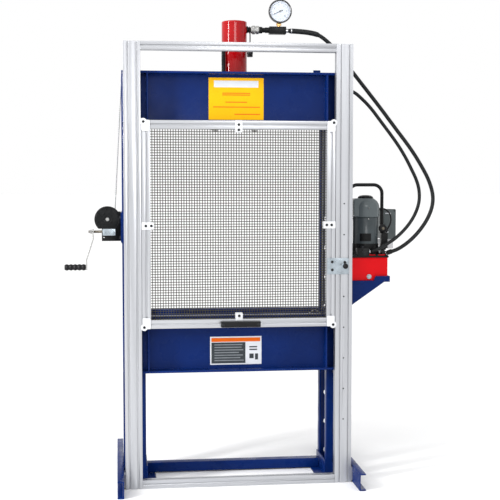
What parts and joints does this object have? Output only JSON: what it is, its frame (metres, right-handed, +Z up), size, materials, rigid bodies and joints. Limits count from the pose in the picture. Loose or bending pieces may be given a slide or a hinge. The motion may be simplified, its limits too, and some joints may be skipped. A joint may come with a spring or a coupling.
{
  "type": "hydraulic shop press",
  "caption": "Blue H-frame hydraulic shop press with a movable bed, a red cylinder and pressure gauge, a sliding wire-mesh guard door, a hand winch and an electric pump on a side shelf.",
  "frame": {"origin": "on the floor, midway between the ends of the feet and midway between the crank grip's end and the control box's outer side", "axes": "+X to the pump side, +Y to the back, away from the guard door, +Z up along the ram"},
  "size_m": [1.7208, 0.812, 2.2037],
  "materials": {
    "blue_paint": "semi-gloss dark blue enamel",
    "aluminium": "clear anodised extrusion",
    "zinc_plate": "bright zinc plate",
    "chrome": "polished",
    "cylinder_red": "glossy red enamel",
    "tank_red": "red powder coat",
    "black_plastic": "satin moulded",
    "black_paint": "satin black",
    "motor_grey": "glossy dark grey enamel",
    "hose_rubber": "smooth glossy cover",
    "bare_steel": "machined",
    "steel_wire": "galvanised",
    "box_grey": "dull grey-green"
  },
  "bodies": {
    "frame": {"upright_front_left": "blue_paint", "upright_rear_left": "blue_paint", "upright_front_right": "blue_paint", "upright_rear_right": "blue_paint", "foot_left": "blue_paint", "foot_right": "blue_paint", "base_angle_left": "blue_paint", "base_angle_right": "blue_paint", "base_cross_member": "blue_paint", "bolster_front": "blue_paint", "bolster_rear": "blue_paint", "cylinder_plate": "blue_paint", "winch_plate": "blue_paint", "pump_shelf": "blue_paint", "guard_post_left": "aluminium", "guard_post_right": "aluminium", "guard_rail_top": "aluminium", "guard_rail_bottom": "aluminium", "worm_bracket": "zinc_plate", "coupler": "zinc_plate", "gauge_case": "chrome", "cylinder_body": "cylinder_red", "reservoir": "tank_red", "dust_cap": "black_plastic", "gauge_block": "black_paint", "winch_frame": "black_paint", "gear_cover": "black_paint", "valve_manifold": "black_paint", "carry_handle": "black_paint", "motor": "motor_grey", "hose_advance": "hose_rubber", "hose_retract": "hose_rubber", "winch_rope_left": "steel_wire", "winch_rope_right": "steel_wire", "lift_rope_left": "steel_wire", "lift_rope_right": "steel_wire", "control_box": "box_grey"},
    "door": {"door_stile_left": "aluminium", "door_stile_right": "aluminium", "door_rail_top": "aluminium", "door_rail_bottom": "aluminium", "mesh_panel": "steel_wire", "door_handle": "black_plastic", "latch_plate": "zinc_plate"},
    "plunger": {"index_plunger": "black_plastic"},
    "bed": {"bed_front": "blue_paint", "bed_rear": "blue_paint", "bed_spacer_left": "blue_paint", "bed_spacer_right": "blue_paint"},
    "pin_left": {"bed_pin_left": "bare_steel"},
    "pin_right": {"bed_pin_right": "bare_steel"},
    "ram": {"ram": "chrome"},
    "needle": {"gauge_needle": "black_paint"},
    "crank": {"worm_shaft": "bare_steel", "crank_arm": "bare_steel"},
    "grip": {"crank_grip": "black_plastic"},
    "drum": {"winch_drum": "bare_steel"},
    "sheave_left": {"head_sheave_left": "bare_steel"},
    "sheave_right": {"head_sheave_right": "bare_steel"},
    "knob": {"valve_knob": "black_plastic"}
  },
  "joints": [
    {"name": "door_slide", "type": "slide", "parent": "frame", "child": "door", "axis": [0, 0, 1], "range_m": [-0.5588, 0.2794]},
    {"name": "plunger_pull", "type": "slide", "parent": "door", "child": "plunger", "axis": [0, -1, 0], "range_m": [0, 0.008], "stiffness_N_per_m": 600, "springref_m": -0.004},
    {"name": "bed_slide", "type": "slide", "parent": "frame", "child": "bed", "axis": [0, 0, 1], "range_m": [0, 0.5588], "deforming": ["lift_rope_left", "lift_rope_right"]},
    {"name": "pin_left_slide", "type": "slide", "parent": "frame", "child": "pin_left", "axis": [0, 1, 0], "range_m": [0, 0.3]},
    {"name": "pin_right_slide", "type": "slide", "parent": "frame", "child": "pin_right", "axis": [0, 1, 0], "range_m": [0, 0.3]},
    {"name": "ram_slide", "type": "slide", "parent": "frame", "child": "ram", "axis": [0, 0, -1], "range_m": [0, 0.159]},
    {"name": "needle_turn", "type": "hinge", "parent": "frame", "child": "needle", "pos_m": [0.21083, -0.057, 2.14983], "axis": [0, 1, 0], "range_deg": [0, 250], "stiffness_Nm_per_rad": 0.001},
    {"name": "crank_turn", "type": "hinge", "parent": "frame", "child": "crank", "pos_m": [-0.62, -0.121, 1.144], "axis": [1, 0, 0], "continuous": true},
    {"name": "grip_spin", "type": "hinge", "parent": "crank", "child": "grip", "pos_m": [-0.73, -0.121, 0.984], "axis": [1, 0, 0], "continuous": true},
    {"name": "drum_spin", "type": "hinge", "parent": "frame", "child": "drum", "pos_m": [-0.583, -0.07, 1.2], "axis": [0, 1, 0], "continuous": true},
    {"name": "sheave_left_spin", "type": "hinge", "parent": "frame", "child": "sheave_left", "pos_m": [-0.463, -0.039, 1.822], "axis": [0, 1, 0], "continuous": true},
    {"name": "sheave_right_spin", "type": "hinge", "parent": "frame", "child": "sheave_right", "pos_m": [0.3984, 0.023, 1.846], "axis": [0, 1, 0], "continuous": true},
    {"name": "valve_turn", "type": "hinge", "parent": "frame", "child": "knob", "pos_m": [0.698, -0.06, 1.15], "axis": [0, 1, 0], "range_deg": [-45, 45]}
  ],
  "couplings": [
    {"joint": "drum_spin", "follows": "crank_turn", "ratio": 0.025},
    {"joint": "sheave_left_spin", "follows": "crank_turn", "ratio": -0.014722},
    {"joint": "sheave_right_spin", "follows": "crank_turn", "ratio": -0.0265}
  ]
}
